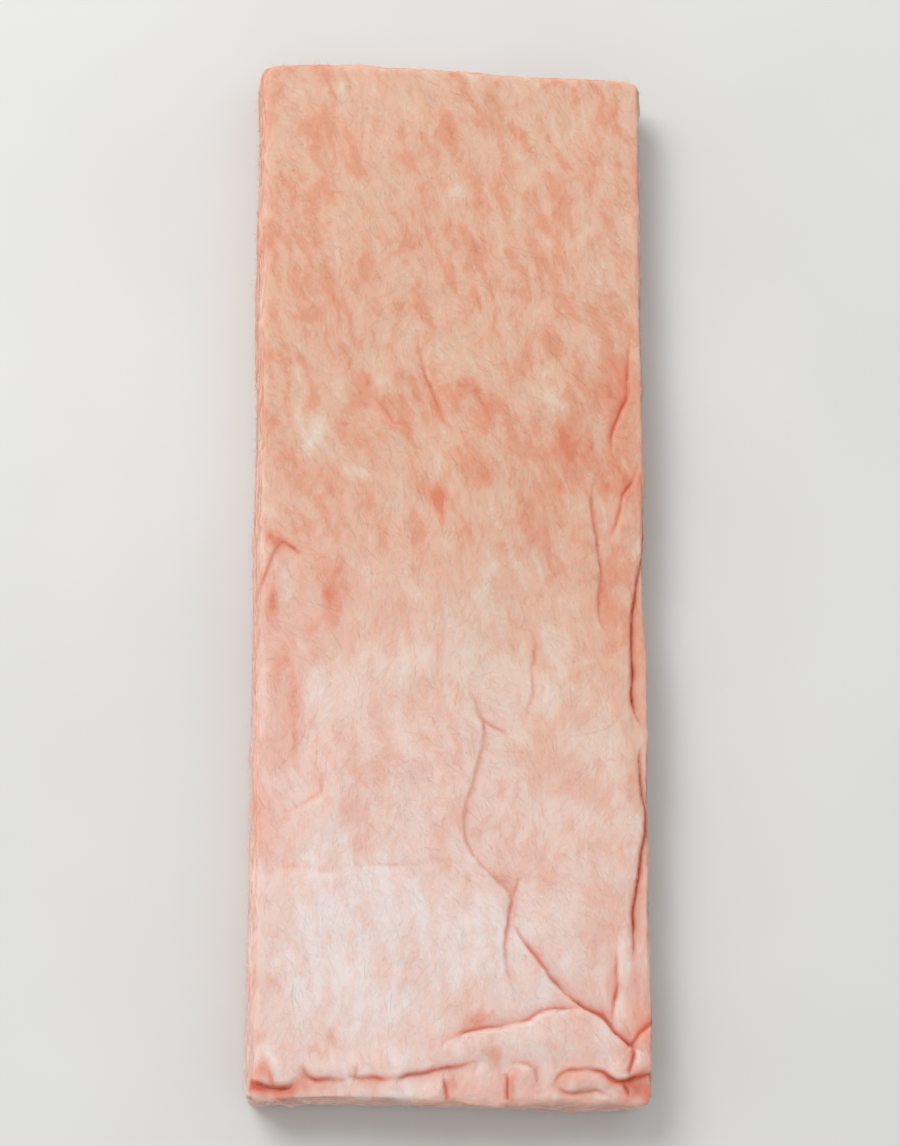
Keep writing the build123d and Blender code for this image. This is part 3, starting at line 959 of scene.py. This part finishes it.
def standing_off(spots, normals, length, lean, curl, rng):
    """Short curved paths that leave the surface, leaning over by a random amount."""
    aside = np.cross(normals, rng.normal(size=spots.shape))
    aside /= np.linalg.norm(aside, axis=1)[:, None]
    way = normals + aside * lean[:, None]
    way /= np.linalg.norm(way, axis=1)[:, None]
    bend = rng.normal(size=spots.shape) * curl[:, None]
    share = np.linspace(0, 1, FIBRE_POINTS)[None, :, None]
    reach = length[:, None, None] * share
    return (spots - normals * 0.4 * MM)[:, None] + reach * way[:, None] + reach * share * bend[:, None]


def fibre_points(paths, width, flatness):
    """The points of three-sided fibres that follow the paths and taper to a point at both ends."""
    ahead = np.gradient(paths, axis=1)
    ahead /= np.linalg.norm(ahead, axis=2)[..., None] + 1e-12
    across = np.cross(ahead, (0, 0, 1))
    across /= np.linalg.norm(across, axis=2)[..., None] + 1e-9
    over = np.cross(across, ahead)
    inner = slice(1, FIBRE_POINTS - 1)
    fullness = np.sin(pi * np.linspace(0, 1, FIBRE_POINTS))[None, inner, None] ** 0.6
    half = width[:, None, None] / 2 * fullness
    rings = []
    for turn in (pi / 2, pi * 7 / 6, pi * 11 / 6):
        thick = half * flatness[:, None, None] * sin(turn)
        rings.append(paths[:, inner] + across[:, inner] * half * cos(turn) + over[:, inner] * thick)
    body = np.stack(rings, axis=2).reshape(len(paths), -1, 3)
    points = np.concatenate([paths[:, :1], body, paths[:, -1:]], axis=1)
    points[..., 2] = np.maximum(points[..., 2], 0)
    return points


def fibre_faces():
    """One fibre's faces: its two tips, and the sides between its rings of three points."""
    rings = FIBRE_POINTS - 2
    last = 1 + 3 * (rings - 1)
    faces = []
    for side in range(3):
        after = (side + 1) % 3
        faces.append((0, 1 + side, 1 + after))
        faces.append((last + 3, last + after, last + side))
        for low in range(1, last, 3):
            faces.append((low + side, low + 3 + side, low + 3 + after, low + after))
    return faces


def spin_fibres(name, paths, width, flatness, tone):
    """One mesh of fibres that follow the paths."""
    points = fibre_points(paths, width, flatness)
    count, per_fibre, _ = points.shape
    start = (np.arange(count) * per_fibre)[:, None]
    polygons = [face for one in fibre_faces() for face in (np.array(one)[None] + start).tolist()]
    mesh = bpy.data.meshes.new(name)
    mesh.from_pydata(points.reshape(-1, 3).tolist(), [], polygons)
    mesh.update()
    fibres = bpy.data.objects.new(name, mesh)
    bpy.context.scene.collection.objects.link(fibres)
    write_attribute(mesh, "tone_shift", np.repeat(tone, per_fibre))
    made = read_points(mesh)
    write_attribute(mesh, "blush_and_shade", dye_and_shade(made) * top_share(made))
    # The folds' painted shade, carried onto the fibres that lie in them
    write_attribute(mesh, "painted_shade", painted_fold_shade(made) * top_share(made))
    uv = mesh.uv_layers.new(name="OFBake")
    corners = np.empty(len(mesh.loops), np.int32)
    mesh.loops.foreach_get("vertex_index", corners)
    flat = made[corners, :2]
    flat = (flat - flat.min(axis=0)) / np.ptp(flat, axis=0).max()
    uv.data.foreach_set("uv", flat.astype(np.float32).ravel())
    mesh.shade_smooth()
    return fibres


def on_face(centre, normal):
    """How thick the fibres lie on a face of the mesh: only where it looks up."""
    return np.clip(normal[:, 2] - 0.1, 0, 1)


def on_sides(centre, normal):
    """How thick the fibres lie on a face of the mesh: only on the sides and shoulders, off the floor."""
    return (np.abs(normal[:, 2]) < 0.85) * (centre[:, 2] > 2 * MM) * 1.0


def face_wisps(batt, name, rng):
    """Wisps matted down on the room face, most of which run the way the wool leans."""
    spots, normals = surface_spots(batt, FIBRES_A_PIECE, on_face, rng)
    count = len(spots)
    drift = cloud(spots, (70, 70, FLAT), 30)
    lean = FOOT_LEAN + (HEAD_LEAN - FOOT_LEAN) * headward_share(spots)
    angle = np.radians(90 + lean) + 0.8 * drift + 0.5 * rng.normal(size=count)
    heading = np.stack([np.cos(angle), np.sin(angle), np.zeros(count)], axis=1)
    paths, width, flatness = mat_down(batt, FACE_WISPS, spots, normals, heading, rng)
    return spin_fibres(name, paths, width, flatness, rng.normal(*FACE_WISPS.tone, count))


def side_wisps(batt, rng):
    """Wisps matted down on the sides, most of which run along the layers."""
    spots, normals = surface_spots(batt, FIBRES_A_PIECE, on_sides, rng)
    count = len(spots)
    heading = np.cross(normals, (0, 0, 1)) * rng.choice((-1, 1), count)[:, None]
    heading[:, 2] += rng.normal(0, 0.35, count)
    paths, width, flatness = mat_down(batt, SIDE_WISPS, spots, normals, heading, rng)
    paths[..., 2] = np.maximum(paths[..., 2], FLOOR_GAP)
    return spin_fibres("side_wisps", paths, width, flatness, rng.normal(*SIDE_WISPS.tone, count))


def side_fuzz(batt, rng):
    """Short cut ends that stand off the sides."""
    spots, normals = surface_spots(batt, FIBRES_A_PIECE, on_sides, rng)
    count = len(spots)
    length = rng.gamma(3, 1.4, count).clip(1.2, 8) * MM
    lean = rng.uniform(0.6, 3.5, count)
    curl = rng.uniform(0.1, 0.7, count)
    width = rng.uniform(0.14, 0.32, count) * MM
    paths = standing_off(spots, normals, length, lean, curl, rng)
    paths[..., 2] = np.maximum(paths[..., 2], FLOOR_GAP)
    return spin_fibres("side_fuzz", paths, width, np.ones(count), rng.normal(0.08, 0.1, count))


def make_fibres(batt):
    """All the loose fibres. They cast no shadow, since they are thicker than real ones."""
    rng = np.random.default_rng(SEED + 20)
    wool = loose_material()
    made = [face_wisps(batt, f"face_wisps_{number}", rng) for number in (1, 2)]
    made += [side_wisps(batt, rng), side_fuzz(batt, rng)]
    for fibres in made:
        fibres.data.materials.append(wool)
        fibres.visible_shadow = False
        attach(fibres, "root")


def make_floor():
    deselect()
    bpy.ops.mesh.primitive_plane_add(size=14)
    floor = bpy.context.object
    floor.name = "studio_floor"
    s = Shader("pale_floor")
    cloudy = s.noise(s.add("TexCoord").outputs["Object"], 3, 2)
    colour = s.ramp(cloudy, FLOOR_GREYS, first=0.3, last=0.7)
    floor.data.materials.append(s.finish({"Base Color": colour, "Roughness": 0.9, "Specular IOR Level": 0.1}))


def make_lights():
    """An even white sky, and a softbox beyond the head end's left corner."""
    world = bpy.data.worlds.new("studio")
    bpy.context.scene.world = world
    world.use_nodes = True
    sky = world.node_tree.nodes["Background"]
    sky.inputs["Color"].default_value = (1, 1, 1, 1)
    sky.inputs["Strength"].default_value = SKY_STRENGTH
    lamp = bpy.data.lights.new("softbox", "AREA")
    lamp.shape = "RECTANGLE"
    lamp.size = lamp.size_y = SOFTBOX_SIZE
    lamp.energy = SOFTBOX_WATTS
    box = bpy.data.objects.new("softbox", lamp)
    bpy.context.scene.collection.objects.link(box)
    box.location = SOFTBOX_PLACE
    box.rotation_euler = (-box.location).to_track_quat("-Z", "Y").to_euler()


def make_camera():
    """Looks down on the batt from a little beyond its left side and its foot end."""
    from_left_side = radians(7.5)
    from_foot = radians(13)
    lens = 100
    sensor = 36
    margin = 1.09
    centre = Vector((0, 0, THICKNESS * 0.6))
    away = Vector((-tan(from_left_side), -tan(from_foot), 1)).normalized()
    distance = LENGTH * margin / 2 / (sensor / 2 / lens)
    camera_data = bpy.data.cameras.new("camera")
    camera_data.lens = lens
    camera_data.sensor_width = sensor
    camera = bpy.data.objects.new("camera", camera_data)
    bpy.context.scene.collection.objects.link(camera)
    camera.location = centre + away * distance
    right = Vector((0, 1, 0)).cross(away).normalized()
    up = away.cross(right)
    turn = camera.rotation_euler.to_matrix()
    for row in range(3):
        turn[row] = (right[row], up[row], away[row])
    camera.rotation_euler = turn.to_euler()
    bpy.context.scene.camera = camera


make_camera()
batt = make_batt()
make_fibres(batt)
make_floor()
make_lights()

bpy.context.scene.view_settings.view_transform = "Standard"
